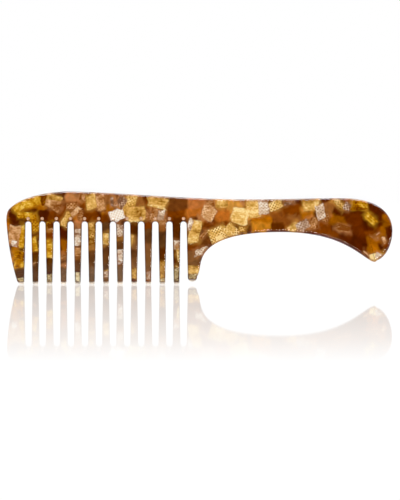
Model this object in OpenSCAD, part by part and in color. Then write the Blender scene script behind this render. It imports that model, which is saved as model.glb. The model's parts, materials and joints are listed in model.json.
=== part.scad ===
// Wide-tooth handle comb, sawn from one sheet of mosaic cellulose acetate.
//
// The comb stands on its tooth tips: X runs along its length, from the front guard tooth to the
// end of the handle, Y runs through the sheet, and Z runs from the tips up to the spine.
// The real comb is one plate. Its nodes are the regions that a comb maker names, and they meet
// face to face: the spine, the handle, the two guard teeth and the inner teeth.

/* [Sheet] */
// Length of the comb, from the front edge to the end of the handle
comb_length = 190; // [184:1:200]
// Height of the comb, from the tooth tips to the top of the spine
comb_height = 45.6; // [44:0.2:48]
// Thickness of the sheet
sheet_t = 4.5; // [3.6:0.1:6]

/* [Teeth] */
// Number of gaps between the teeth
gap_count = 12; // [8:1:12]
// Distance from one gap to the next
gap_pitch = 6.95; // [6.6:0.01:7]
// Width of a gap at its root
gap_root_w = 3; // [2.6:0.1:3.6]
// Width of a gap at the tooth tips
gap_tip_w = 4.1; // [3.8:0.1:4.6]
// Height of the round end of a gap above the tooth tips
gap_depth = 30.8; // [29:0.1:33]
// Width of the front guard tooth at its root
front_guard_w = 9.25; // [8:0.05:11]
// Radius of the tooth tips, seen from the side
tip_side_r = 1.4; // [0.8:0.1:1.7]
// Radius of the corners of the tooth tips, seen from the front
tip_corner_r = 0.75; // [0.4:0.05:0.9]
// Width of the round dimple above each gap
dimple_w = 1.6; // [1:0.1:2]
// Depth of the same dimple
dimple_depth = 0.4; // [0.2:0.05:0.6]
// Distance from the end of a gap up to the middle of its dimple
dimple_rise = 1.5; // [1.3:0.1:2]

/* [Handle] */
// Height of the handle's waist, where the hand holds it
grip_h = 16.2; // [14:0.2:19]
// Height of the dip in the top edge above the rear guard tooth, below the highest point
saddle_drop = 3.9; // [2:0.1:5]
// Height of the tail's lowest point above the tooth tips
tail_z = 10.9; // [8:0.1:14]
// Height of the rear guard tooth's tip above the other tips
rear_tip_z = 1.2; // [0:0.1:3]

/* [Hidden] */
$fn = 32;
curve_steps = 12;

// The two ends and the top
front_x = -comb_length / 2;
tail_x = comb_length / 2;
top_z = comb_height;
saddle_z = top_z - saddle_drop;

// The row of gaps
root_r = gap_root_w / 2;
root_z = gap_depth - root_r;
first_gap_x = front_x + front_guard_w + root_r;
last_gap_x = first_gap_x + (gap_count - 1) * gap_pitch;
tooth_root_w = gap_pitch - gap_root_w;
tooth_tip_w = gap_pitch - gap_tip_w;

// The rear guard tooth and the neck, where the handle begins
guard_tip_r = 2.3;
rear_inner_x = last_gap_x + gap_tip_w / 2;
neck_x = last_gap_x + 8.65;
neck_z = 11.2;

// The handle
waist_x = 40;
waist_z = saddle_z - grip_h + 0.1;
tail_peak = [70, saddle_z + 0.6];
tail_tip_r = 1.3;
tail_tip = [86.2, tail_z + tail_tip_r];

// The dimples: spherical, one in each face above each gap
dimple_r = (dimple_w * dimple_w / 4 + dimple_depth * dimple_depth) / (2 * dimple_depth);
dimple_out = dimple_r - dimple_depth;

function tooth_name(i) = str("tooth_", i < 10 ? "0" : "", i);
inner_teeth = [2:gap_count];

// A cubic curve from a to d that leaves towards b and arrives from c, without its last point
function curve(a, b, c, d) = [
    for (i = [0:curve_steps - 1])
        let (t = i / curve_steps, u = 1 - t)
        u * u * u * a + 3 * u * u * t * b + 3 * u * t * t * c + t * t * t * d
];

// Points on an arc, with both ends, at angles in degrees from +X towards +Z
function arc(centre, r, from, to, steps = 6) = [
    for (i = [0:steps])
        let (angle = from + (to - from) * i / steps)
        centre + r * [cos(angle), sin(angle)]
];

// The front edge, from the tip of the front guard tooth to the front corner, and over the
// corner to the highest point of the spine
front_edge = concat(
    curve([front_x + 5.2, 1.5], [front_x + 2.2, 11], [front_x + 0.5, 22], [front_x, 31.5]),
    curve([front_x, 31.5], [front_x, 36.4], [front_x + 1.4, 37.2], [front_x + 4, top_z - 6.4]),
    curve([front_x + 4, top_z - 6.4], [front_x + 9, top_z - 2.9], [front_x + 19.5, top_z], [-64, top_z])
);

// The top edge: down to the saddle, up to the low hump over the tail, and round the end
top_edge = concat(
    curve([-64, top_z], [-38, top_z - 0.5], [-10, saddle_z + 0.3], [20, saddle_z]),
    curve([20, saddle_z], [38, saddle_z - 0.1], [54, tail_peak[1]], tail_peak),
    curve(tail_peak, [91, tail_peak[1]], [tail_x, 32.5], [tail_x, 26.5]),
    curve([tail_x, 26.5], [tail_x, 19.5], [92, 13.5], tail_tip + tail_tip_r * [1.1, -0.4])
);

// The underside of the handle, from the tail to the neck
underside = concat(
    arc(tail_tip, tail_tip_r, -25, -125),
    curve(tail_tip + tail_tip_r * [-1.1, -0.7], [77.4, 15.5], [68.5, waist_z], [waist_x, waist_z]),
    curve([waist_x, waist_z], [22, waist_z], [3.8, 22.9], [neck_x, neck_z])
);

// The rear guard tooth, from the neck round its tip and up its inner side
rear_guard_edge = concat(
    curve(
        [neck_x, neck_z], [neck_x - 0.7, neck_z - 2.5], [neck_x - 0.6, 6],
        [rear_inner_x + 2 * guard_tip_r, rear_tip_z + guard_tip_r + 0.2]
    ),
    arc([rear_inner_x + guard_tip_r, rear_tip_z + guard_tip_r], guard_tip_r, 0, -180, 12),
    [[last_gap_x + root_r, root_z]]
);

// The front guard tooth, down its inner side and along its tip
front_guard_edge = concat(
    [[first_gap_x - root_r, root_z]],
    arc([first_gap_x - gap_tip_w / 2 - tip_corner_r, tip_corner_r], tip_corner_r, 0, -90),
    arc([front_x + 7.4, 2.2], 2.2, -90, -150)
);

// The comb's outline, with one wide notch in place of the gaps and the inner teeth
module comb_outline() {
    polygon(concat(front_edge, top_edge, underside, rear_guard_edge, front_guard_edge));
}

// The part of the outline in a rectangle from low to high
module outline_in(low, high) {
    intersection() {
        comb_outline();
        translate(low) square(high - low);
    }
}

// One inner tooth, standing on z = 0 and centred on x = 0
module inner_tooth_outline() {
    polygon(concat(
        [[tooth_root_w / 2, root_z], [-tooth_root_w / 2, root_z]],
        arc([-tooth_tip_w / 2 + tip_corner_r, tip_corner_r], tip_corner_r, 180, 270),
        arc([tooth_tip_w / 2 - tip_corner_r, tip_corner_r], tip_corner_r, 270, 360)
    ));
}

// Gives a front outline the thickness of the sheet
module plate() {
    translate([0, sheet_t / 2, 0])
        rotate([90, 0, 0])
        linear_extrude(sheet_t)
        children();
}

// The space that a tooth with a tip at height z fills: the tip is rounded through the thickness
module tip_profile(z) {
    translate([front_x, 0, 0])
        rotate([90, 0, 90])
        linear_extrude(comb_length)
        polygon(concat(
            [[sheet_t / 2, root_z], [-sheet_t / 2, root_z]],
            arc([-sheet_t / 2 + tip_side_r, z + tip_side_r], tip_side_r, 180, 270),
            arc([sheet_t / 2 - tip_side_r, z + tip_side_r], tip_side_r, 270, 360)
        ));
}

// The dimples above a gap, one in each face
module gap_dimples(x) {
    for (side = [-1, 1])
        translate([x, side * (sheet_t / 2 + dimple_out), gap_depth + dimple_rise])
        sphere(r = dimple_r);
}

module spine() {
    color("saddlebrown")
        difference() {
            plate() outline_in([front_x, root_z], [neck_x, top_z]);
            for (i = [0:gap_count - 1])
                gap_end(first_gap_x + i * gap_pitch);
        }
}

// The round end of a gap, with its dimples
module gap_end(x) {
    translate([x, 0, root_z])
        rotate([90, 0, 0])
        cylinder(h = sheet_t + 1, r = root_r, center = true);
    gap_dimples(x);
}

module handle() {
    color("sienna")
        plate() outline_in([neck_x, 0], [tail_x, top_z]);
}

module front_guard() {
    color("peru")
        intersection() {
            plate() outline_in([front_x, 0], [first_gap_x, root_z]);
            tip_profile(0);
        }
}

module rear_guard() {
    color("peru")
        intersection() {
            plate() outline_in([last_gap_x, 0], [neck_x, root_z]);
            tip_profile(rear_tip_z);
        }
}

// Inner tooth number i, where the front guard tooth is number 1
module inner_tooth(i) {
    color("goldenrod")
        intersection() {
            translate([first_gap_x + (i - 1.5) * gap_pitch, 0, 0])
                plate() inner_tooth_outline();
            tip_profile(0);
        }
}

spine();
handle();
front_guard();
rear_guard();
for (i = inner_teeth) inner_tooth(i);
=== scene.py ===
"""A wide-tooth handle comb of mosaic acetate, standing on its tooth tips.

One clear plate with polished edges holds a marbled core and thin cut chips of gold, pearl and
amber. Lengths are in millimetres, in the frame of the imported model, until a mesh is made.
"""
import json
import math
import random

import bmesh
import bpy
from mathutils import Euler, Matrix, Vector, noise


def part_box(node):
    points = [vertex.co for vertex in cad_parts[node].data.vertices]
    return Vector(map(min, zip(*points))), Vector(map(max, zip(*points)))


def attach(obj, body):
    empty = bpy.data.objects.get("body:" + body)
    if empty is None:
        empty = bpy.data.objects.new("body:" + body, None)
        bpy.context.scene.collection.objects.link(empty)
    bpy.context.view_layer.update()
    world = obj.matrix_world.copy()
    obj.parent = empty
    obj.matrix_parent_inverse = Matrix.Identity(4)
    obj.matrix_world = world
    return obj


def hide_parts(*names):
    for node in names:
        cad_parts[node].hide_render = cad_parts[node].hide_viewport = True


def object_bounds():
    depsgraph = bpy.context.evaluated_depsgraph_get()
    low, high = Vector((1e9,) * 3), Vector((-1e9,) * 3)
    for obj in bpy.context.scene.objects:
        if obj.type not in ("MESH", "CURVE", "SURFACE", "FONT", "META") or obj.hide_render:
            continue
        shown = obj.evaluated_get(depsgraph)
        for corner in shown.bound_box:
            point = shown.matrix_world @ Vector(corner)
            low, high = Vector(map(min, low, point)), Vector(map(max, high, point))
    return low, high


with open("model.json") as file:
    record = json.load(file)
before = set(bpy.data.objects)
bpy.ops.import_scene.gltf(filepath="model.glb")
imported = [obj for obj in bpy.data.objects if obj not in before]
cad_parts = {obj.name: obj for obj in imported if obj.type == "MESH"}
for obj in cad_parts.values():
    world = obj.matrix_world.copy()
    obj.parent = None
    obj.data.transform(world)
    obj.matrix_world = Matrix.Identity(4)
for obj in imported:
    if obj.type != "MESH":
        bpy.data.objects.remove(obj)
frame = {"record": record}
cad_low, cad_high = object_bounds()

MM = 0.001

# Blender seeds this noise from the clock, which would tear the core's borders anew on each run
noise.seed_set(1)

# ---------------------------------------------------------------------------------------------
# Driving dimensions. The overall ones come from the frame, the others repeat the CAD model's.

FRONT_X = cad_low[0] / MM
TAIL_X = cad_high[0] / MM
TOP_Z = cad_high[2] / MM
SHEET_T = (cad_high[1] - cad_low[1]) / MM

GAPS = 12
GAP_PITCH = 6.95
GAP_ROOT_R = 1.5
GAP_TIP_W = 4.1
ROOT_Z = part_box("spine")[0][2] / MM
FIRST_GAP_X = FRONT_X + 9.25 + GAP_ROOT_R
LAST_GAP_X = FIRST_GAP_X + (GAPS - 1) * GAP_PITCH
TIP_CORNER_R = 0.75
DIMPLE_R = 1.0
DIMPLE_DEPTH = 0.4
DIMPLE_RISE = 1.5

SADDLE_Z = TOP_Z - 3.9
WAIST_Z = SADDLE_Z - 16.1
PEAK_Z = SADDLE_Z + 0.6
NECK_X = LAST_GAP_X + 8.65
NECK_Z = 11.2
GUARD_TIP_R = 2.3
REAR_TIP_Z = 1.2
REAR_INNER_X = LAST_GAP_X + GAP_TIP_W / 2
TAIL_TIP = Vector((86.2, 12.2))
TAIL_TIP_R = 1.3

# Polished rounding of the edges: its width across the face and its depth through the sheet
OUTER_ROUND = (1.4, 1.2)
GAP_ROUND = (0.6, 0.9)
TIP_ROUND = (1.4, 1.4)
ROUND_STEPS = 6


# ---------------------------------------------------------------------------------------------
# Outline


def curve(a, b, c, d, steps=28):
    """A cubic curve from a to d that leaves towards b and arrives from c, without its last point."""
    a, b, c, d = (Vector(p) for p in (a, b, c, d))
    points = []
    for i in range(steps):
        t = i / steps
        u = 1 - t
        points.append(u ** 3 * a + 3 * u * u * t * b + 3 * u * t * t * c + t ** 3 * d)
    return points


def arc(centre, r, start, end, steps=8):
    """Points on an arc, with both ends, at angles in degrees from +X towards +Z."""
    points = []
    for i in range(steps + 1):
        angle = math.radians(start + (end - start) * i / steps)
        points.append(Vector(centre) + r * Vector((math.cos(angle), math.sin(angle))))
    return points


def line(a, b, steps):
    """Points on a straight line, with both ends."""
    return [Vector(a).lerp(Vector(b), i / steps) for i in range(steps + 1)]


def outer_edge():
    """Up the front, along the top, round the tail and along the underside to the neck."""
    x, tail = FRONT_X, TAIL_TIP
    return (
        curve((x + 5.2, 1.5), (x + 2.2, 11), (x + 0.5, 22), (x, 31.5))
        + curve((x, 31.5), (x, 36.4), (x + 1.4, 37.2), (x + 4, TOP_Z - 6.4), 14)
        + curve((x + 4, TOP_Z - 6.4), (x + 9, TOP_Z - 2.9), (x + 19.5, TOP_Z), (-64, TOP_Z))
        + curve((-64, TOP_Z), (-38, TOP_Z - 0.5), (-10, SADDLE_Z + 0.3), (20, SADDLE_Z), 48)
        + curve((20, SADDLE_Z), (38, SADDLE_Z - 0.1), (54, PEAK_Z), (70, PEAK_Z))
        + curve((70, PEAK_Z), (91, PEAK_Z), (TAIL_X, 32.5), (TAIL_X, 26.5))
        + curve((TAIL_X, 26.5), (TAIL_X, 19.5), (92, 13.5), tail + TAIL_TIP_R * Vector((1.1, -0.4)), 20)
        + arc(tail, TAIL_TIP_R, -25, -125)
        + curve(tail + TAIL_TIP_R * Vector((-1.1, -0.7)), (77.4, 15.5), (68.5, WAIST_Z), (40, WAIST_Z), 40)
        + curve((40, WAIST_Z), (22, WAIST_Z), (3.8, 22.9), (NECK_X, NECK_Z), 40)
    )


def rear_guard_edge():
    """Down the back of the rear guard tooth, round its tip and up its inner side."""
    tip = (REAR_INNER_X + GUARD_TIP_R, REAR_TIP_Z + GUARD_TIP_R)
    return (
        curve((NECK_X, NECK_Z), (NECK_X - 0.7, NECK_Z - 2.5), (NECK_X - 0.6, 6),
              (tip[0] + GUARD_TIP_R, tip[1] + 0.2), 10)
        + arc(tip, GUARD_TIP_R, 0, -180, 24)
        + line((REAR_INNER_X, tip[1] + 0.4), (LAST_GAP_X + GAP_ROOT_R, ROOT_Z), 8)[:-1]
    )


def inner_tooth_edge(gap_x):
    """From the root of the gap at gap_x down the side of the tooth before it, and up its far side."""
    right = gap_x - GAP_TIP_W / 2
    left = gap_x - GAP_PITCH + GAP_TIP_W / 2
    r = TIP_CORNER_R
    return (
        line((gap_x - GAP_ROOT_R, ROOT_Z), (right, r + 0.3), 8)[1:]
        + arc((right - r, r), r, 0, -90)
        + arc((left + r, r), r, -90, -180)
        + line((left, r + 0.3), (gap_x - GAP_PITCH + GAP_ROOT_R, ROOT_Z), 8)[:-1]
    )


def front_guard_edge():
    """Down the inner side of the front guard tooth and along its tip."""
    right = FIRST_GAP_X - GAP_TIP_W / 2
    r = TIP_CORNER_R
    return (
        line((FIRST_GAP_X - GAP_ROOT_R, ROOT_Z), (right, r + 0.3), 8)[1:]
        + arc((right - r, r), r, 0, -90)
        + arc((FRONT_X + 7.4, 2.2), 2.2, -90, -150)
    )


def comb_outline():
    """The whole outline, clockwise from the front, as (point, 1 on an outer edge or 0 in the teeth)."""
    marked = [(p, 1.0) for p in outer_edge()] + [(p, 0.0) for p in rear_guard_edge()]
    for i in reversed(range(GAPS)):
        x = FIRST_GAP_X + i * GAP_PITCH
        inner = arc((x, ROOT_Z), GAP_ROOT_R, 0, 180, 20)
        inner += inner_tooth_edge(x) if i else front_guard_edge()
        marked += [(p, 0.0) for p in inner]
    return marked


def smoothstep(low, high, value):
    t = min(max((value - low) / (high - low), 0), 1)
    return t * t * (3 - 2 * t)


def outline_with_normals():
    """(point, outward normal, outer share, tip share) for each point of the outline."""
    marked = comb_outline()
    count = len(marked)
    found = []
    for i, (p, outer) in enumerate(marked):
        before = (p - marked[i - 1][0]).normalized()
        after = (marked[(i + 1) % count][0] - p).normalized()
        along = (before + after).normalized()
        normal = Vector((-along.y, along.x))
        on_teeth = p.x < NECK_X and p.y < 5
        tip = max(0.0, -normal.y) ** 2 if on_teeth else 0.0
        near = [marked[(i + k) % count][1] for k in range(-6, 7)]
        found.append((p, normal, sum(near) / len(near), tip))
    return found


# ---------------------------------------------------------------------------------------------
# Meshes


def new_object(name, bm, material=None):
    """The bmesh, which is in millimetres, as an object of the scene in metres."""
    bmesh.ops.scale(bm, vec=(MM, MM, MM), verts=bm.verts)
    mesh = bpy.data.meshes.new(name)
    bm.to_mesh(mesh)
    bm.free()
    mesh.materials.append(material)
    obj = bpy.data.objects.new(name, mesh)
    bpy.context.scene.collection.objects.link(obj)
    return obj


def plate(name, half_t, insets, rounds, material=None):
    """A plate of the comb's outline with rounded edges.

    insets is how far it lies inside the comb's outline on its outer edges, in the gaps and at
    the tips, and rounds is the (width, depth) of the rounding in the same three places.
    """
    rings = []
    bm = bmesh.new()
    for side in (-1, 1):
        for step in range(ROUND_STEPS + 1):
            angle = math.pi / 2 * step / ROUND_STEPS
            ring = []
            for p, normal, outer, tip in outline_with_normals():
                shares = (outer * (1 - tip), (1 - outer) * (1 - tip), tip)
                width = sum(s * r[0] for s, r in zip(shares, rounds))
                depth = sum(s * r[1] for s, r in zip(shares, rounds))
                inset = sum(s * i for s, i in zip(shares, insets))
                q = p - normal * (inset + width * (1 - math.cos(angle)))
                y = side * (half_t - depth * (1 - math.sin(angle)))
                ring.append(bm.verts.new((q.x, y, q.y)))
            rings.append(ring)
    front, back = rings[: ROUND_STEPS + 1], rings[ROUND_STEPS + 1:]
    stack = front[::-1] + back
    for low, high in zip(stack, stack[1:]):
        for i in range(len(low)):
            j = (i + 1) % len(low)
            face = bm.faces.new((low[i], low[j], high[j], high[i]))
            face.smooth = True
    for ring in (stack[0], stack[-1]):
        bm.faces.new(ring)
    bmesh.ops.recalc_face_normals(bm, faces=bm.faces)
    return new_object(name, bm, material)


def cut(obj, cutter, operation):
    """Applies a boolean to obj, and removes nothing else."""
    modifier = obj.modifiers.new("cut", "BOOLEAN")
    modifier.operation = operation
    modifier.object = cutter
    modifier.solver = "MANIFOLD"
    modifier.material_mode = "TRANSFER"
    graph = bpy.context.evaluated_depsgraph_get()
    mesh = bpy.data.meshes.new_from_object(obj.evaluated_get(graph))
    obj.modifiers.clear()
    old, obj.data = obj.data, mesh
    bpy.data.meshes.remove(old)


def discard(obj):
    mesh = obj.data
    bpy.data.objects.remove(obj)
    bpy.data.meshes.remove(mesh)


def dimples(material):
    """The dimples above each gap, on both faces, as one cutter."""
    bm = bmesh.new()
    for i in range(GAPS):
        for side in (-1, 1):
            place = Matrix.Translation((
                FIRST_GAP_X + i * GAP_PITCH,
                side * (SHEET_T / 2 + DIMPLE_R - DIMPLE_DEPTH),
                ROOT_Z + GAP_ROOT_R + DIMPLE_RISE,
            ))
            bmesh.ops.create_icosphere(bm, subdivisions=4, radius=DIMPLE_R, matrix=place)
    for face in bm.faces:
        face.smooth = True
    return new_object("dimples", bm, material)


# ---------------------------------------------------------------------------------------------
# The mosaic, laid out one by one

# Chips near the front face, the deepest kind first. Each row is x, z, width, height, angle in
# degrees, how light the chip is and how strongly it is hatched.
CHIP_ROWS = {
    "gold": [
        (-85.0, 33.8, 8.6, 3.4, -4, 0.5, 0.1), (-82.5, 40.3, 9.0, 4.4, 20, 0.7, 0.1),
        (-89.2, 37.6, 6.0, 4.4, 38, 0.8, 0.1), (-81.7, 32.5, 4.0, 4.0, 8, 0.35, 0.3),
        (-75.6, 41.6, 5.0, 4.6, 12, 0.1, 0.3), (-88.8, 14.4, 6.2, 4.0, -8, 0.35, 0.1),
        (-88.5, 10.2, 5.6, 3.8, 14, 0.45, 0.1), (-80.6, 28.3, 5.0, 5.6, 4, 0.4, 0.4),
        (-81.3, 20.0, 3.2, 6.6, 8, 0.55, 0.1), (-73.3, 28.6, 4.0, 4.0, 10, 0.2, 0.8),
        (-73.8, 17.6, 5.0, 8.8, -6, 0.75, 0.2), (-87.4, 24.2, 2.6, 11.8, -4, 0.7, 0.1),
        (78.4, 38.9, 8.0, 4.4, 0, 0.35, 0.2), (84.5, 32.2, 7.8, 3.6, -42, 0.7, 0.1),
    ],
    "peach": [
        (-71.4, 39.8, 8.0, 6.6, -24, 0.5, 0.1), (-62.6, 38.6, 5.0, 3.4, 5, 0.3, 0.4),
        (-57.0, 42.8, 3.5, 3.4, -10, 0.3, 0.2), (-61.2, 35.3, 7.0, 2.6, 42, 0.55, 0.1),
        (-58.6, 33.8, 2.4, 4.6, -8, 0.3, 0.2), (-48.4, 40.2, 4.4, 8.6, 4, 0.5, 0.25),
        (-66.9, 13.2, 5.0, 2.2, -6, 0.28, 0.2), (-59.7, 16.0, 5.0, 4.2, 4, 0.5, 0.1),
        (-91.2, 23.6, 5.6, 9.6, -8, 0.6, 0.1), (-26.0, 34.4, 2.0, 3.8, -25, 0.3, 0.2),
        (-22.0, 33.6, 5.0, 7.0, -18, 0.4, 0.3),
        (-18.0, 30.7, 3.4, 3.0, 0, 0.4, 0.3), (5.4, 39.3, 4.0, 4.6, 10, 0.3, 0.2),
        (4.6, 35.2, 7.0, 7.0, -28, 0.8, 0.6), (2.2, 24.6, 6.0, 1.6, 48, 0.45, 0.1),
        (55.8, 30.2, 4.4, 6.4, -20, 0.4, 0.3), (62.0, 32.6, 3.4, 4.2, -20, 0.15, 0.4),
        (70.4, 27.8, 7.0, 3.2, -12, 0.0, 0.2), (70.6, 26.2, 7.6, 0.9, -11, 0.4, 0.1),
        (56.4, 28.2, 3.6, 1.6, 5, 0.2, 0.2), (91.0, 21.6, 2.0, 3.4, 25, 0.5, 0.2),
        (87.8, 24.8, 2.2, 0.5, 35, 0.45, 0.0), (85.4, 23.0, 2.6, 0.4, -25, 0.3, 0.0),
        (87.8, 22.4, 0.6, 1.2, 10, 0.35, 0.0), (-81.2, 10.3, 1.8, 0.4, 35, 0.5, 0.0),
        (82.4, 15.0, 3.6, 0.7, -40, 0.6, 0.2), (-73.2, 27.2, 2.6, 0.7, 16, 0.4, 0.1),
    ],
    "straw": [
        (-53.2, 40.8, 5.8, 8.4, 12, 0.75, 0.15), (-71.4, 42.5, 7.2, 2.8, -8, 0.55, 0.1),
        (-65.4, 32.2, 3.6, 8.0, -26, 0.55, 0.2),
        (-52.9, 27.6, 5.0, 6.4, 14, 0.45, 0.25), (-36.6, 37.4, 5.0, 4.6, -38, 0.5, 0.3),
        (-33.8, 40.8, 5.6, 5.8, -12, 0.45, 0.3), (-20.4, 40.5, 9.2, 5.0, -10, 0.45, 0.0),
        (-31.0, 34.2, 8.8, 6.6, 10, 0.6, 0.25), (-20.2, 38.1, 8.0, 1.5, -14, 0.8, 0.1),
        (-33.4, 21.4, 1.8, 5.6, -14, 0.5, 0.1), (-10.4, 15.6, 1.9, 9.6, 8, 0.6, 0.4),
        (11.2, 39.5, 7.0, 4.4, -3, 0.55, 0.1), (20.4, 33.6, 8.2, 9.2, -12, 0.85, 0.1),
        (26.4, 39.0, 6.4, 5.4, 8, 0.75, 0.3), (27.2, 34.9, 6.6, 4.4, 14, 0.6, 0.1),
        (37.4, 38.9, 7.0, 4.8, 22, 0.7, 0.8), (9.0, 25.0, 8.0, 7.6, 22, 0.75, 1.0),
        (15.8, 26.2, 6.4, 5.4, -42, 0.8, 1.0), (21.2, 26.9, 3.4, 2.6, -10, 0.5, 0.5),
        (46.5, 28.2, 5.4, 3.7, 38, 0.7, 0.2), (68.6, 39.4, 7.6, 3.4, -48, 0.55, 0.8),
        (-52.9, 22.2, 5.0, 5.4, 14, 0.3, 0.6), (85.6, 13.2, 4.2, 4.2, 10, 1.0, 0.0),
        (90.6, 15.4, 2.4, 1.6, 35, 0.05, 0.3),
        (-45.4, 6.7, 3.4, 0.6, 25, 0.5, 0.2), (-10.8, 8.5, 3.0, 0.5, -30, 0.5, 0.2),
        (-46.0, 22.4, 5.0, 6.4, 4, 0.65, 0.2),
        (-18.2, 6.6, 5.0, 9.0, 0, 0.35, 0.3), (-32.1, 5.2, 5.0, 5.4, 3, 0.25, 0.2),
        (54.5, 38.9, 9.0, 5.4, 8, 0.65, 0.1), (-2.6, 25.7, 6.8, 11.4, -8, 0.5, 0.1),
        (-3.0, 7.0, 6.4, 4.4, 3, 0.55, 0.1), (9.6, 22.6, 4.4, 2.2, 22, 0.95, 0.0),
    ],
    "pearl": [
        (-91.0, 20.2, 3.0, 3.0, -10, 0.7, 0.1), (-45.8, 4.9, 5.0, 2.9, 10, 0.3, 0.3),
        (-59.7, 21.6, 5.0, 6.2, 2, 0.8, 0.3),
        (-59.6, 26.2, 5.0, 2.4, 2, 0.25, 0.1), (-43.0, 41.0, 1.4, 5.6, 4, 0.45, 0.3),
        (-39.0, 40.4, 4.8, 6.8, -36, 0.15, 0.6), (-40.3, 33.4, 6.8, 6.8, 30, 1.15, 0.4),
        (-38.9, 26.8, 4.6, 5.4, -5, 0.5, 0.4), (-38.9, 13.2, 5.0, 7.0, 6, 0.8, 0.15),
        (-18.7, 34.0, 3.2, 5.4, -8, 0.6, 0.5), (-11.2, 19.6, 5.0, 4.8, -8, 0.8, 0.2),
        (-4.6, 29.2, 3.0, 5.6, -20, 0.5, 0.2), (0.8, 16.0, 7.4, 4.0, 14, 0.55, 0.4),
        (-25.0, 4.4, 5.0, 3.6, 5, 0.55, 0.2), (31.4, 38.0, 5.4, 8.6, 10, 0.65, 0.4),
        (44.3, 40.5, 5.6, 2.6, 6, 0.2, 0.6), (51.0, 28.8, 8.0, 5.4, 32, 0.4, 1.0),
        (59.6, 36.0, 4.2, 7.4, 14, 0.65, 0.7), (72.6, 38.2, 4.0, 4.4, -28, 0.2, 0.7),
        (88.2, 13.8, 3.0, 3.0, -25, 1.0, 0.0),
    ],
    "cream": [
        (-59.6, 3.0, 5.0, 6.6, 2, 0.8, 0.2), (-11.0, 1.8, 5.0, 1.8, 5, 0.35, 0.4),
        (-88.4, 2.0, 6.0, 1.8, 8, 0.5, 0.2), (-2.9, 3.4, 5.5, 3.4, 0, 0.35, 0.6),
        (-17.9, 2.0, 5.0, 2.0, 5, 0.65, 0.2), (-11.2, 5.2, 5.0, 5.4, 12, 0.45, 1.0),
        (-73.6, 2.6, 5.0, 5.0, 12, 0.3, 0.3),
    ],
}

# Colours of the marbled core, as they look through the plastic
MARBLE = {
    "dark": (78, 34, 8), "soot": (98, 44, 8), "coffee": (86, 52, 18), "bark": (106, 60, 28),
    "umber": (98, 64, 36), "ash": (106, 78, 54), "rust": (118, 58, 14), "cocoa": (122, 82, 48),
    "russet": (130, 72, 30), "brown": (146, 90, 44), "ochre": (148, 84, 16), "bronze": (168, 114, 54),
    "tan": (186, 122, 72), "amber": (174, 100, 20), "flame": (188, 106, 40), "copper": (186, 110, 56),
    "honey": (212, 148, 66), "gold": (204, 144, 42), "syrup": (196, 128, 38), "mocha": (86, 44, 16),
    # Painted highlight: the pale colour of the tooth tips, for the light they catch from the floor
    "tip_light": (222, 206, 192),
}

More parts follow.
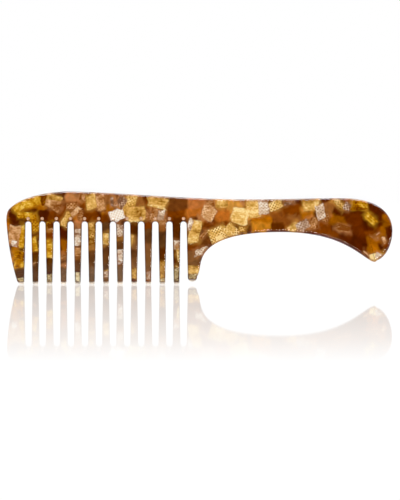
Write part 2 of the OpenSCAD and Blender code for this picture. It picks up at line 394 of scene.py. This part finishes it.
# Soft stretches of the core, the later ones over the earlier: colour, x, z, width, height, angle
STRETCHES = [
    # Spine
    ("amber", -93.4, 31.0, 2.2, 11.0, -3), ("dark", -90.4, 31.4, 4.8, 7.0, 8),
    ("amber", -84.0, 38.0, 12.0, 5.0, 20), ("dark", -92.6, 35.6, 2.4, 4.0, 20),
    ("dark", -82.8, 36.2, 5.8, 1.4, 8), ("dark", -77.2, 33.5, 7.6, 6.0, 5),
    ("rust", -70.5, 33.4, 8.0, 6.4, -10), ("amber", -78.6, 39.4, 4.4, 5.6, 20),
    ("rust", -61.0, 37.5, 14.0, 8.0, 0), ("tan", -61.8, 42.8, 8.0, 4.0, 0),
    ("brown", -57.6, 42.0, 2.6, 4.0, 5), ("amber", -60.0, 32.8, 4.0, 4.0, 25),
    ("rust", -54.0, 34.5, 8.0, 7.0, 0), ("amber", -45.0, 36.2, 5.4, 6.8, -10),
    ("brown", -44.8, 42.0, 4.0, 5.0, 5), ("tan", -42.3, 41.0, 3.0, 6.0, 0),
    ("rust", -46.5, 32.0, 4.0, 5.0, 0), ("tan", -35.0, 38.0, 9.0, 11.0, 0),
    ("brown", -29.2, 40.2, 4.4, 6.6, -8), ("rust", -25.0, 36.5, 3.0, 13.0, 4),
    ("tan", -20.5, 36.0, 7.0, 11.0, 0), ("bark", -11.0, 38.6, 11.6, 8.0, 0),
    ("rust", -10.5, 33.8, 11.0, 5.0, 5), ("mocha", -11.0, 31.0, 4.0, 4.0, 0),
    ("copper", -1.0, 38.4, 9.0, 7.2, 3), ("flame", -3.0, 35.0, 8.0, 4.0, 10),
    # Handle
    ("tan", 1.6, 30.0, 6.0, 7.0, -8), ("tan", 5.4, 39.3, 5.0, 4.6, 10),
    ("honey", 11.0, 39.0, 8.0, 6.0, 0), ("flame", 12.2, 33.2, 9.0, 8.6, 4),
    ("honey", 16.0, 33.0, 2.6, 8.6, 4), ("honey", 17.6, 39.0, 7.0, 5.0, -5),
    ("tan", 22.3, 39.8, 5.0, 3.0, 0), ("rust", 9.0, 29.3, 12.0, 2.6, 3),
    ("honey", 27.0, 36.0, 8.0, 8.0, 0), ("bark", 3.8, 21.6, 5.6, 9.6, -28),
    ("rust", 2.0, 28.6, 5.0, 4.6, 20),
    ("brown", 26.0, 28.4, 5.0, 5.0, 0), ("coffee", 21.6, 27.0, 6.0, 4.4, -20),
    ("syrup", 30.5, 28.8, 10.0, 5.0, 8),
    ("amber", 31.0, 32.4, 9.6, 4.4, -4), ("russet", 41.0, 31.6, 10.0, 11.0, 8),
    ("mocha", 38.4, 28.0, 6.4, 4.6, 5),
    ("rust", 45.5, 37.3, 9.0, 5.0, 6), ("brown", 47.3, 32.6, 7.0, 4.6, 30),
    ("rust", 48.3, 36.0, 3.0, 5.0, 20), ("amber", 53.0, 35.0, 6.5, 6.0, 5),
    ("gold", 55.0, 39.0, 9.0, 5.0, 5), ("brown", 64.2, 37.6, 6.8, 6.6, 25),
    ("rust", 60.5, 28.0, 9.0, 6.0, -8), ("dark", 71.0, 34.8, 11.0, 5.0, -20),
    ("ochre", 68.0, 31.4, 11.0, 5.0, -12), ("rust", 64.0, 24.8, 8.0, 2.2, -13),
    ("soot", 76.4, 28.6, 8.0, 13.0, 10), ("dark", 77.0, 21.5, 6.0, 5.0, -30),
    ("gold", 78.6, 38.6, 8.0, 4.6, 0), ("rust", 72.3, 41.0, 4.0, 1.8, 0),
    ("dark", 87.0, 36.5, 9.0, 6.0, -35), ("rust", 87.0, 22.0, 9.0, 11.0, 15),
    ("ochre", 86.0, 21.6, 6.0, 5.0, 25), ("ochre", 92.2, 31.0, 4.0, 6.5, 12),
    ("ochre", 90.2, 25.0, 2.6, 6.0, -12), ("dark", 92.8, 25.0, 1.6, 5.0, -5),
    ("amber", 86.5, 17.0, 6.5, 4.0, -12), ("dark", 90.0, 18.2, 3.0, 4.0, 20),
    # Teeth and guard teeth
    ("amber", -88.5, 14.0, 7.0, 8.0, 0), ("dark", -87.4, 17.0, 3.0, 3.0, 0),
    ("coffee", -88.4, 5.6, 6.6, 5.0, 20), ("dark", -80.6, 24.3, 5.0, 1.4, 3),
    ("coffee", -80.6, 7.4, 5.0, 15.0, 0), ("rust", -73.6, 24.0, 5.0, 5.0, 0),
    ("coffee", -73.6, 8.8, 5.0, 6.0, 4), ("dark", -66.7, 25.3, 5.0, 6.0, 0),
    ("rust", -66.4, 21.4, 5.0, 3.0, 0), ("ochre", -67.0, 19.0, 3.4, 5.6, 8),
    ("brown", -66.7, 15.0, 5.0, 2.8, 0), ("umber", -66.8, 11.2, 5.0, 2.4, 0),
    ("tan", -66.8, 9.1, 5.0, 2.0, 0), ("ash", -66.8, 4.0, 5.0, 7.8, 0),
    ("tan", -59.8, 29.0, 5.0, 4.4, 5), ("brown", -59.8, 12.8, 5.0, 3.0, 5),
    ("umber", -59.8, 9.2, 5.0, 5.0, 0), ("bronze", -52.9, 19.0, 5.0, 5.6, 8),
    ("umber", -52.9, 11.6, 5.0, 9.0, 0), ("ash", -52.9, 4.0, 5.0, 7.8, 0),
    ("umber", -45.9, 28.2, 5.0, 5.0, 5), ("umber", -45.9, 13.0, 5.0, 11.4, 0),
    ("umber", -45.9, 1.8, 5.0, 3.6, 0), ("bronze", -39.0, 22.4, 5.0, 4.0, 5),
    ("umber", -39.0, 18.8, 5.0, 3.4, 6), ("ash", -39.0, 4.5, 5.0, 9.4, 0),
    ("mocha", -32.1, 27.2, 5.0, 6.5, 0), ("cocoa", -32.0, 20.2, 5.0, 7.6, 4),
    ("umber", -32.1, 14.2, 5.0, 4.4, 4), ("cocoa", -32.0, 10.2, 5.0, 4.0, 4),
    ("rust", -25.1, 28.6, 5.0, 3.4, 0), ("umber", -25.1, 23.4, 5.0, 7.4, 0),
    ("cocoa", -25.1, 13.4, 5.0, 13.4, 0), ("brown", -18.1, 28.2, 5.0, 4.4, 0),
    ("umber", -18.1, 21.6, 5.0, 9.4, 0), ("mocha", -18.1, 14.6, 5.0, 6.0, 0),
    ("mocha", -11.2, 26.0, 5.0, 8.4, 0), ("mocha", -11.6, 12.6, 3.4, 10.0, 5),
    ("rust", -3.0, 18.2, 6.5, 3.4, 0), ("cocoa", -2.8, 13.0, 6.5, 6.4, 0),
]

# The colour that shines into the core round the chips of some kinds
GLOW = {"gold": "gold", "straw": "honey", "peach": "tan", "pearl": "tan"}

# The chips' thickness, the least clear plastic over what is inside, and the clear plastic below
# it at the tips
CHIP_T = 0.3
SKIN = 0.15
TIP_CLEAR = 0.85

# How much brighter the studio is for the paint inside than for the camera, and the faint light
# that the polish and the chips' own gloss add over the paint
PAINT_LIGHT = 1.6
GLOSS_VEIL = 0.006

# The painted shade along the gaps: its width, and the light left in it right beside the gap
GAP_SHADE_W = 0.9
GAP_SHADE_LIGHT = 0.3


# ---------------------------------------------------------------------------------------------
# Materials


class Shader:
    """A node material built from its output backwards. Inputs are values, or sockets to link."""

    def __init__(self, name):
        self.material = bpy.data.materials.new(name)
        self.material.use_nodes = True
        self.tree = self.material.node_tree
        self.tree.nodes.clear()
        self.output = self.tree.nodes.new("ShaderNodeOutputMaterial")

    def add(self, kind, inputs=None, out=0, **settings):
        node = self.tree.nodes.new("ShaderNode" + kind)
        for name, value in settings.items():
            setattr(node, name, value)
        for name, value in (inputs or {}).items():
            if isinstance(value, bpy.types.NodeSocket):
                self.tree.links.new(value, node.inputs[name])
            else:
                node.inputs[name].default_value = value
        return node.outputs[out]

    def maths(self, operation, a, b=0.0, clamp=False):
        return self.add("Math", {0: a, 1: b}, operation=operation, use_clamp=clamp)

    def ramp(self, fac, stops):
        """A colour ramp through (position, (r, g, b)) stops."""
        socket = self.add("ValToRGB", {"Fac": fac})
        elements = socket.node.color_ramp.elements
        elements.remove(elements[1])
        elements[0].position = stops[0][0]
        elements[0].color = (*stops[0][1], 1)
        for position, colour in stops[1:]:
            elements.new(position).color = (*colour, 1)
        return socket

    def surface(self, inputs):
        self.tree.links.new(self.add("BsdfPrincipled", inputs), self.output.inputs["Surface"])

    def painted_gap_shade(self, colour):
        """The colour, with painted shade: darker close to the sawn gaps, for the dark line seen where the
        light leaves the sheet.
        """
        axes = self.add("SeparateXYZ", {"Vector": self.add("TexCoord", out="Object")}).node.outputs
        x, z = axes["X"], axes["Z"]
        first = (FIRST_GAP_X - GAP_PITCH / 2) * MM
        last = (LAST_GAP_X + GAP_PITCH / 2) * MM
        among = self.maths("MINIMUM", self.maths("MAXIMUM", x, first), last)
        beyond = self.maths("ABSOLUTE", self.maths("SUBTRACT", x, among))
        from_first = self.maths("SUBTRACT", among, FIRST_GAP_X * MM)
        across = self.maths("PINGPONG", from_first, GAP_PITCH / 2 * MM)
        across = self.maths("ADD", across, beyond)
        above = self.maths("MAXIMUM", self.maths("SUBTRACT", z, ROOT_Z * MM), 0.0)
        squares = self.maths("ADD", self.maths("MULTIPLY", across, across),
                             self.maths("MULTIPLY", above, above))
        down = self.maths("SUBTRACT", 1.0, self.maths("DIVIDE", z, ROOT_Z * MM), clamp=True)
        widening = self.maths("MULTIPLY", down, (GAP_TIP_W / 2 - GAP_ROOT_R) * MM)
        half_w = self.maths("ADD", widening, GAP_ROOT_R * MM)
        inside = self.maths("SUBTRACT", self.maths("SQRT", squares), half_w)
        depth = self.maths("DIVIDE", inside, GAP_SHADE_W * MM, clamp=True)
        light = self.maths("ADD", self.maths("MULTIPLY", depth, 1 - GAP_SHADE_LIGHT), GAP_SHADE_LIGHT)
        return self.add("VectorMath", {0: colour, "Scale": light}, operation="SCALE")


def clear_acetate():
    """The clear plastic between the chips, polished, with a faint warm tint."""
    s = Shader("clear_acetate")
    place = s.add("TexCoord", out="Object")
    wear = s.add("TexNoise", {"Vector": place, "Scale": 900.0, "Detail": 3.0})
    s.surface({
        "Base Color": (1, 1, 1, 1),
        "Transmission Weight": 1.0,
        "Specular Tint": (0.5, 0.5, 0.5, 1),
        "IOR": 1.48,
        "Roughness": s.maths("MULTIPLY", wear, 0.04),
    })
    volume = s.add("VolumeAbsorption", {"Color": (0.95, 0.80, 0.50, 1), "Density": 110.0})
    s.tree.links.new(volume, s.output.inputs["Volume"])
    return s.material


def under_plastic(red, green, blue):
    """The paint that looks like the given 8-bit colour when it is seen through the plastic.

    The plastic turns back much of the light that leaves a chip, so what is inside looks deeper
    in colour than its paint. The studio's extra light on the paint and the veil of the gloss
    are taken off first. No paint is lighter than white, so the palest colours come out darker.
    """
    paint = []
    for value in (red, green, blue):
        share = value / 255
        seen = share / 12.92 if share <= 0.04045 else ((share + 0.055) / 1.055) ** 2.4
        seen = max(seen - GLOSS_VEIL, 0) / PAINT_LIGHT
        paint.append(min(math.sqrt(1.6 + 5.88 * seen) - 1.265, 1.0))
    return tuple(paint)


def chip_material(name, stops, metallic):
    """A cut chip: a few shades of one colour in broad clouds, crossed by fine hatching.

    It reads five attributes of the chips' mesh: grain, which is each chip's own coordinates in
    millimetres, tone and hatch, which are one number each for every chip, around, which is the
    core's colour behind it, and inner, which rises from 0 at its torn rim.
    """
    s = Shader(name)
    grain = s.add("Attribute", attribute_name="grain", out="Vector")
    tone = s.add("Attribute", attribute_name="tone", out="Fac")
    hatch = s.add("Attribute", attribute_name="hatch", out="Fac")
    around = s.add("Attribute", attribute_name="around", out="Color")
    inner = s.add("Attribute", attribute_name="inner", out="Fac")
    clouds = s.add("TexNoise", {"Vector": grain, "Scale": 0.2, "Detail": 2.0, "Distortion": 0.6})
    specks = s.add("TexNoise", {"Vector": grain, "Scale": 0.9, "Detail": 3.0})
    streaks = s.add("Mapping", {"Vector": grain, "Scale": (0.4, 1.0, 2.6)})
    streak = s.add("TexNoise", {"Vector": streaks, "Scale": 0.6, "Detail": 2.0})
    turned = s.add("Mapping", {"Vector": grain, "Rotation": (0, 0.7, 0)})
    waves = {"Vector": turned, "Scale": 0.27, "Distortion": 2.2, "Detail": 2.0}
    bands = s.add("TexWave", waves)
    crossed = s.add("TexWave", waves, bands_direction="Z")
    gaps = s.maths("MULTIPLY", s.maths("SUBTRACT", 1.0, bands), s.maths("SUBTRACT", 1.0, crossed))
    patches = s.maths("MULTIPLY", s.maths("SUBTRACT", clouds, 0.38), 5.0, clamp=True)
    dots = s.maths("MULTIPLY", s.maths("SUBTRACT", 0.15, gaps), s.maths("MULTIPLY", patches, hatch))
    shade = tone
    parts = ((clouds, 0.5, 2.0), (specks, 0.5, 0.9), (streak, 0.5, 0.9), (dots, 0.0, 1.8))
    for part, middle, weight in parts:
        shade = s.maths("ADD", shade, s.maths("MULTIPLY", s.maths("SUBTRACT", part, middle), weight))
        if part is streak:
            shade = s.maths("MINIMUM", shade, 1.0)
    shade = s.maths("MAXIMUM", shade, 0.0)
    torn = s.maths("ADD", s.maths("MULTIPLY", inner, 2.2), s.maths("MULTIPLY", specks, 1.6))
    solid = s.maths("SUBTRACT", torn, 0.55, clamp=True)
    paint = s.add("Mix", {"Factor": solid, "A": around, "B": s.ramp(shade, stops)},
                  data_type="RGBA", out="Result")
    s.surface({
        # Painted shade darkens the paint along the sawn gaps
        "Base Color": s.painted_gap_shade(paint),
        "Roughness": s.maths("ADD", s.maths("MULTIPLY", clouds, 0.3), 0.3),
        "Metallic": metallic,
        "Specular IOR Level": 0.0,
    })
    return s.material


def dimple_material():
    """The inside of the dimples: the same plastic, but left matt by grinding, and painted pale as a
    painted highlight for the light the dimples catch.
    """
    s = Shader("dimple_painted_highlight")
    place = s.add("TexCoord", out="Object")
    scratches = s.add("TexNoise", {"Vector": place, "Scale": 3000.0, "Detail": 2.0})
    # Painted highlight: the pale colours stand in for the light the dimples catch
    colour = s.ramp(scratches, [(0.3, (0.30, 0.15, 0.08)), (0.7, (0.66, 0.42, 0.24))])
    s.surface({"Base Color": colour, "Roughness": 0.6})
    return s.material


def core_material():
    """The marbled inside: the colours of its mesh, with soft clouds."""
    s = Shader("marbled_core")
    place = s.add("TexCoord", out="Object")
    marble = s.add("Attribute", attribute_name="marble", out="Color")
    clouds = s.add("TexNoise", {"Vector": place, "Scale": 260.0, "Detail": 4.0, "Distortion": 0.8})
    light = s.maths("ADD", s.maths("MULTIPLY", clouds, 1.5), 0.25)
    shade = s.add("VectorMath", {0: marble, "Scale": light}, operation="SCALE")
    # Painted shade darkens the paint along the sawn gaps
    s.surface({"Base Color": s.painted_gap_shade(shade), "Roughness": 0.5, "Specular IOR Level": 0.0})
    return s.material


# ---------------------------------------------------------------------------------------------
# Core and chips


def slab(name, half_t, spacing, material):
    """A box round the comb above the clear tips, whose broad faces are grids that can carry shades."""
    bm = bmesh.new()
    columns = int((TAIL_X - FRONT_X + 4) / spacing)
    rows = int((TOP_Z + 2) / spacing)
    sides = []
    for y in (-half_t, half_t):
        sides.append([
            [
                bm.verts.new((FRONT_X - 2 + i * spacing, y, TIP_CLEAR + k * spacing))
                for i in range(columns + 1)
            ]
            for k in range(rows + 1)
        ])
    for grid in sides:
        for k in range(rows):
            for i in range(columns):
                bm.faces.new((grid[k][i], grid[k][i + 1], grid[k + 1][i + 1], grid[k + 1][i]))
    near, far = sides
    rim = [(0, i) for i in range(columns)] + [(k, columns) for k in range(rows)]
    rim += [(rows, i) for i in range(columns, 0, -1)] + [(k, 0) for k in range(rows, 0, -1)]
    for (k, i), (m, j) in zip(rim, rim[1:] + rim[:1]):
        bm.faces.new((near[k][i], near[m][j], far[m][j], far[k][i]))
    bmesh.ops.recalc_face_normals(bm, faces=bm.faces)
    return new_object(name, bm, material)


class Stretch:
    """A patch of paint on the core: a turned rectangle that fades over a soft edge."""

    def __init__(self, colour, x, z, width, height, angle, soft, strength):
        self.paint = Vector(under_plastic(*MARBLE[colour]))
        self.centre = (x, z)
        self.half = (width / 2, height / 2)
        self.turn = (math.cos(math.radians(angle)), math.sin(math.radians(angle)))
        self.soft = soft
        self.strength = strength
        self.reach = math.hypot(width, height) / 2 + soft

    def share(self, x, z):
        """How much of the place the paint covers, from 0 outside the patch to its strength."""
        dx, dz = x - self.centre[0], z - self.centre[1]
        if abs(dx) > self.reach or abs(dz) > self.reach:
            return 0.0
        u = dx * self.turn[0] + dz * self.turn[1]
        v = dz * self.turn[0] - dx * self.turn[1]
        inside = min(self.half[0] - abs(u), self.half[1] - abs(v))
        return self.strength * smoothstep(-self.soft, self.soft, inside)


def core_layers():
    """The stretches, and over them the light that the bright chips shed on the core round them."""
    layers = [Stretch(*row, 0.7, 1.0) for row in STRETCHES]
    for kind, colour in GLOW.items():
        for x, z, width, height, angle, tone, hatch in CHIP_ROWS[kind]:
            layers.append(Stretch(colour, x, z, width + 0.6, height + 0.6, angle, 1.2, 0.6))
    return layers


def marble_at(x, z):
    """The core's paint at a place in millimetres, with the borders of its stretches torn.

    The last of each tooth is painted pale: a painted highlight for the light its rounded tip catches from
    the bright floor.
    """
    tip_z = REAR_TIP_Z if x > LAST_GAP_X else 0
    # How much of the painted highlight of the tooth tips lies here
    tip_light = 1 - smoothstep(TIP_CLEAR, TIP_CLEAR + 0.5, z - tip_z)
    shift = noise.noise_vector(Vector((x, z, 0)) / 2.6)
    x += 1.3 * shift.x
    z += 1.3 * shift.y
    paint = Vector(under_plastic(*MARBLE["dark"]))
    for layer in CORE_LAYERS:
        share = layer.share(x, z)
        if share:
            paint = paint.lerp(layer.paint, share)
    return paint.lerp(TIP_LIGHT_PAINT, tip_light)


def paint_from_core(obj, name):
    """Gives each point of obj the core's colour at its place, as the named attribute."""
    paints = obj.data.attributes.new(name, "FLOAT_COLOR", "POINT")
    for vertex, paint in zip(obj.data.vertices, paints.data):
        paint.color = (*marble_at(vertex.co.x / MM, vertex.co.z / MM), 1)


CORE_LAYERS = core_layers()
# The painted highlight of the tooth tips
TIP_LIGHT_PAINT = Vector(under_plastic(*MARBLE["tip_light"]))


def marbled_core():
    material = core_material()
    core = plate("marbled_core", 1.3, (0.6, SKIN, 0.8), ((0.3, 0.3),) * 3, material)
    grid = slab("grid", 0.9, 0.6, material)
    cut(core, grid, "INTERSECT")
    discard(grid)
    paint_from_core(core, "marble")
    return core


def chip_prism(width, height, luck):
    """A thin, torn piece of sheet around the origin, in its own XZ plane, as a bmesh.

    Each broad face has an inner ring, marked 1 in the layer inner, so that the shade can change
    towards the rim.
    """
    bm = bmesh.new()
    inner = bm.verts.layers.float.new("inner")
    corners = [(-0.5, -0.5), (0.5, -0.5), (0.5, 0.5), (-0.5, 0.5)]
    corners = [(x + luck.uniform(-0.13, 0.13), z + luck.uniform(-0.13, 0.13)) for x, z in corners]
    outline = []
    for (ax, az), (bx, bz) in zip(corners, corners[1:] + corners[:1]):
        for share in (luck.uniform(0.0, 0.14), 0.35, 0.65, luck.uniform(0.84, 0.97)):
            bend = luck.uniform(-0.07, 0.07) if 0.2 < share < 0.8 else 0
            outline.append((
                ax + share * (bx - ax) + bend * (bz - az),
                az + share * (bz - az) - bend * (bx - ax),
            ))
    rings = []
    for y, scale in ((-CHIP_T / 2, 0.62), (-CHIP_T / 2, 1), (CHIP_T / 2, 1), (CHIP_T / 2, 0.62)):
        ring = [bm.verts.new((x * width * scale, y, z * height * scale)) for x, z in outline]
        for vert in ring:
            vert[inner] = scale < 1
        rings.append(ring)
    for low, high in zip(rings, rings[1:]):
        for i in range(len(outline)):
            j = (i + 1) % len(outline)
            bm.faces.new((low[i], low[j], high[j], high[i]))
    bm.faces.new(rings[0])
    bm.faces.new(rings[-1])
    bmesh.ops.recalc_face_normals(bm, faces=bm.faces)
    return bm


def chips(kind, rows, side, limit, luck):
    """All chips of one kind near one face, cut where the limit ends, as one object.

    side is -1 for the front face and 1 for the back.
    """
    depths, material = CHIP_KINDS[kind]
    whole = bmesh.new()
    grain = whole.verts.layers.float_vector.new("grain")
    tones = whole.verts.layers.float.new("tone")
    hatches = whole.verts.layers.float.new("hatch")
    inners = whole.verts.layers.float.new("inner")
    for x, z, width, height, angle, tone, hatch in rows:
        rim = luck.uniform(-0.25, 0.15)
        tilt = [math.radians(luck.uniform(-1.5, 1.5)) for _ in range(2)]
        turn = Euler((tilt[0], -math.radians(angle), tilt[1]))
        where = Vector((x, side * (SHEET_T / 2 - luck.uniform(*depths)), z))
        place = Matrix.Translation(where) @ turn.to_matrix().to_4x4()
        prism = chip_prism(width, height, luck)
        prism.transform(place)
        piece = new_object("chip", prism)
        cut(piece, limit, "INTERSECT")
        if not piece.data.vertices:
            discard(piece)
            continue
        start = Vector((luck.uniform(0, 50), luck.uniform(0, 50), luck.uniform(0, 50)))
        home = place.inverted()
        verts = []
        inner = piece.data.attributes["inner"].data
        for vertex, share in zip(piece.data.vertices, inner):
            new = whole.verts.new(vertex.co / MM)
            new[grain] = home @ new.co + start
            new[tones] = tone + rim * (1 - share.value)
            new[hatches] = hatch
            new[inners] = share.value
            verts.append(new)
        for face in piece.data.polygons:
            whole.faces.new([verts[i] for i in face.vertices])
        discard(piece)
    obj = new_object(f"{kind}_chips_{'front' if side < 0 else 'back'}", whole, material)
    paint_from_core(obj, "around")
    return obj


def shuffled(rows, luck):
    """The rows a tenth larger, and moved and turned at random, for the back face."""
    return [
        (x + luck.uniform(-3, 3), z + luck.uniform(-2, 2), 1.1 * w, 1.1 * h,
         luck.uniform(-90, 90), tone, hatch)
        for x, z, w, h, angle, tone, hatch in rows
    ]


# Depths below the face between which the chips of each kind lie, and their material
CHIP_KINDS = {
    "gold": ((0.95, 1.1), chip_material("gold_chip", [
        (0.0, under_plastic(104, 52, 4)), (0.35, under_plastic(178, 112, 14)),
        (0.7, under_plastic(222, 168, 46)), (1.0, under_plastic(248, 212, 98)),
    ], 0.1)),
    "peach": ((0.7, 0.85), chip_material("peach_chip", [
        (0.0, under_plastic(128, 70, 28)), (0.5, under_plastic(198, 140, 86)),
        (1.0, under_plastic(240, 200, 150)),
    ], 0.1)),
    "straw": ((0.5, 0.65), chip_material("straw_chip", [
        (0.0, under_plastic(126, 74, 20)), (0.4, under_plastic(200, 148, 68)),
        (0.75, under_plastic(234, 188, 104)), (1.0, under_plastic(252, 224, 156)),
    ], 0.1)),
    "pearl": ((0.3, 0.45), chip_material("pearl_chip", [
        (0.0, under_plastic(122, 82, 58)), (0.4, under_plastic(194, 158, 126)),
        (0.75, under_plastic(226, 204, 178)), (1.0, under_plastic(250, 242, 230)),
    ], 0.1)),
    "cream": ((0.35, 0.5), chip_material("cream_chip", [
        (0.0, under_plastic(126, 100, 58)), (0.4, under_plastic(192, 166, 116)),
        (1.0, under_plastic(238, 222, 182)),
    ], 0.0)),
}


# ---------------------------------------------------------------------------------------------
# The comb

body = plate("acetate_plate", SHEET_T / 2, (0, 0, 0), (OUTER_ROUND, GAP_ROUND, TIP_ROUND), clear_acetate())
pits = dimples(dimple_material())
cut(body, pits, "DIFFERENCE")
discard(pits)
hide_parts(*[part["node"] for part in frame["record"]["subparts"]])

limit = plate(
    "limit", SHEET_T / 2 - SKIN, (0.4, SKIN, 0.7),
    [(w - SKIN, d - SKIN) for w, d in (OUTER_ROUND, GAP_ROUND, TIP_ROUND)],
)
base = slab("base", SHEET_T, 2.0, None)
cut(limit, base, "INTERSECT")
discard(base)
pieces = [body, marbled_core()]
luck = random.Random(7)
for kind, rows in CHIP_ROWS.items():
    pieces.append(chips(kind, rows, -1, limit, luck))
    pieces.append(chips(kind, shuffled(rows, luck), 1, limit, luck))
discard(limit)
for piece in pieces:
    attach(piece, "root")

# ---------------------------------------------------------------------------------------------
# Studio

# The share of the floor that is a mirror to the camera beside the comb, and how far it reaches
MIRROR_SHARE = 0.44
MIRROR_REACH = 0.46
# The bright ceiling and the strips of bright floor, which only reflections show
CEILING_LIGHT = 14.0
FLOOR_LIGHT = 24.0
FLOOR_GLOW = 1.035
STRIP_TINT = (1.0, 0.84, 0.72, 1)


def mirrored_once(shader):
    """1 for rays that come straight from their only reflection, 0 for all others."""
    path = shader.add("LightPath").node.outputs
    plain = shader.maths("SUBTRACT", 1.0, path["Is Transmission Ray"])
    plain = shader.maths("MULTIPLY", plain, shader.maths("LESS_THAN", path["Glossy Depth"], 1.5))
    return shader.maths("MULTIPLY", path["Is Glossy Ray"], plain)


def after_paint(shader):
    """1 for rays that have met the paint inside the comb on their way from the camera."""
    return shader.maths("MINIMUM", shader.add("LightPath", out="Diffuse Depth"), 1.0)


def floor():
    bm = bmesh.new()
    bmesh.ops.create_grid(bm, x_segments=1, y_segments=1, size=1500)
    s = Shader("floor")
    place = s.add("NewGeometry", out="Position")
    axes = s.add("SeparateXYZ", {"Vector": place}).node.outputs
    beyond = s.maths("MAXIMUM", s.maths("SUBTRACT", s.maths("ABSOLUTE", axes["X"]), TAIL_X * MM), 0.0)
    squares = s.maths("ADD", s.maths("MULTIPLY", beyond, beyond),
                      s.maths("MULTIPLY", axes["Y"], axes["Y"]))
    away = s.maths("SQRT", squares)
    reach = s.maths("MINIMUM", s.maths("DIVIDE", away, MIRROR_REACH), 1.0)
    share = s.maths("MULTIPLY", s.maths("SUBTRACT", 1.0, s.maths("POWER", reach, 1.4)), MIRROR_SHARE)
    share = s.maths("MULTIPLY", share, s.add("LightPath", out="Is Camera Ray"))
    # Far from the comb the floor is dark in reflections, like the dark end of a studio
    far = s.maths("SUBTRACT", s.maths("DIVIDE", away, 0.12), 1.0, clamp=True)
    dark = s.maths("MULTIPLY", mirrored_once(s), far)
    # Reflections also show two strips of light along the handle: a bright one in front of the
    # comb, for the line on the tail's underside, and a faint one under the handle
    along = s.maths("GREATER_THAN", axes["X"], 0.03)
    near = s.maths("MULTIPLY", s.maths("GREATER_THAN", axes["Y"], -0.006),
                   s.maths("LESS_THAN", axes["Y"], 0.02))
    strip = s.maths("MULTIPLY", s.maths("GREATER_THAN", axes["Y"], -0.16),
                    s.maths("LESS_THAN", axes["Y"], -0.068))
    lines = s.maths("MULTIPLY", along, s.maths("ADD", strip, s.maths("MULTIPLY", near, 0.03)))
    lines = s.maths("MULTIPLY", lines, mirrored_once(s))
    strength = s.maths("ADD", s.maths("SUBTRACT", 1.0, dark), s.maths("MULTIPLY", lines, FLOOR_LIGHT))
    strength = s.maths("ADD", strength, s.maths("MULTIPLY", after_paint(s), PAINT_LIGHT - 1))
    warm = s.add("Mix", {"Factor": lines, "A": (1, 1, 1, 1), "B": STRIP_TINT},
                 data_type="RGBA", out="Result")
    # The mirror takes a little more green and blue from the floor than red, so its image is warm
    extra = s.maths("MULTIPLY", share, 7.0, clamp=True)
    mirror = s.add("CombineXYZ", {
        "X": share,
        "Y": s.maths("ADD", share, s.maths("MULTIPLY", extra, 0.04)),
        "Z": s.maths("ADD", share, s.maths("MULTIPLY", extra, 0.07)),
    })
    rest = s.add("VectorMath", {0: warm, 1: mirror}, operation="SUBTRACT")
    glow = s.add("Emission", {"Color": rest, "Strength": s.maths("MULTIPLY", strength, FLOOR_GLOW)})
    gloss = s.add("BsdfGlossy", {"Color": mirror, "Roughness": 0.03})
    mix = s.add("AddShader", {0: glow, 1: gloss})
    s.tree.links.new(mix, s.output.inputs["Surface"])
    obj = new_object("floor", bm, s.material)
    obj.location.z = -0.00002
    return obj


class WorldShader(Shader):
    """The same for a world, whose light comes from the direction it is seen in."""

    def __init__(self, name):
        self.world = bpy.data.worlds.new(name)
        self.world.use_nodes = True
        self.tree = self.world.node_tree
        self.tree.nodes.clear()
        self.output = self.tree.nodes.new("ShaderNodeOutputWorld")


def studio():
    s = WorldShader("studio")
    direction = s.add("TexCoord", out="Generated")
    axes = s.add("SeparateXYZ", {"Vector": direction}).node.outputs
    overhead = s.maths("MULTIPLY", s.maths("SUBTRACT", axes["Z"], 0.72), 5.0, clamp=True)
    # In reflections the far end of the studio is dark, so the ceiling fades out behind the comb
    behind = s.maths("MULTIPLY", s.maths("MAXIMUM", axes["Y"], 0.0), 2.0, clamp=True)
    overhead = s.maths("MULTIPLY", overhead, s.maths("SUBTRACT", 1.0, behind))
    # Straight ahead of the comb's face it is dark too, so that no veil lies on the face
    ahead = s.maths("LESS_THAN", axes["Y"], -0.9)
    extra = s.maths("SUBTRACT", s.maths("MULTIPLY", overhead, CEILING_LIGHT), ahead)
    strength = s.maths("ADD", 1.0, s.maths("MULTIPLY", extra, mirrored_once(s)))
    strength = s.maths("ADD", strength, s.maths("MULTIPLY", after_paint(s), PAINT_LIGHT - 1))
    background = s.add("Background", {"Color": (1, 1, 1, 1), "Strength": strength})
    s.tree.links.new(background, s.output.inputs["Surface"])
    return s.world


floor()
bpy.context.scene.world = studio()
bpy.context.scene.view_settings.view_transform = "Standard"

# The camera: its distance, the height of its view at the comb and how far down it looks
DISTANCE = 1.3
VIEW_H = 0.2464
VIEW_TILT = 2.5
data = bpy.data.cameras.new("camera")
data.sensor_width = 36
data.lens = 36 * DISTANCE / VIEW_H
camera = bpy.data.objects.new("camera", data)
bpy.context.scene.collection.objects.link(camera)
tilt = math.radians(VIEW_TILT)
aim = Vector((0.0003, 0, 0.01675))
camera.location = aim + DISTANCE * Vector((0, -math.cos(tilt), math.sin(tilt)))
camera.rotation_euler = Euler((math.pi / 2 - tilt, 0, 0))
bpy.context.scene.camera = camera
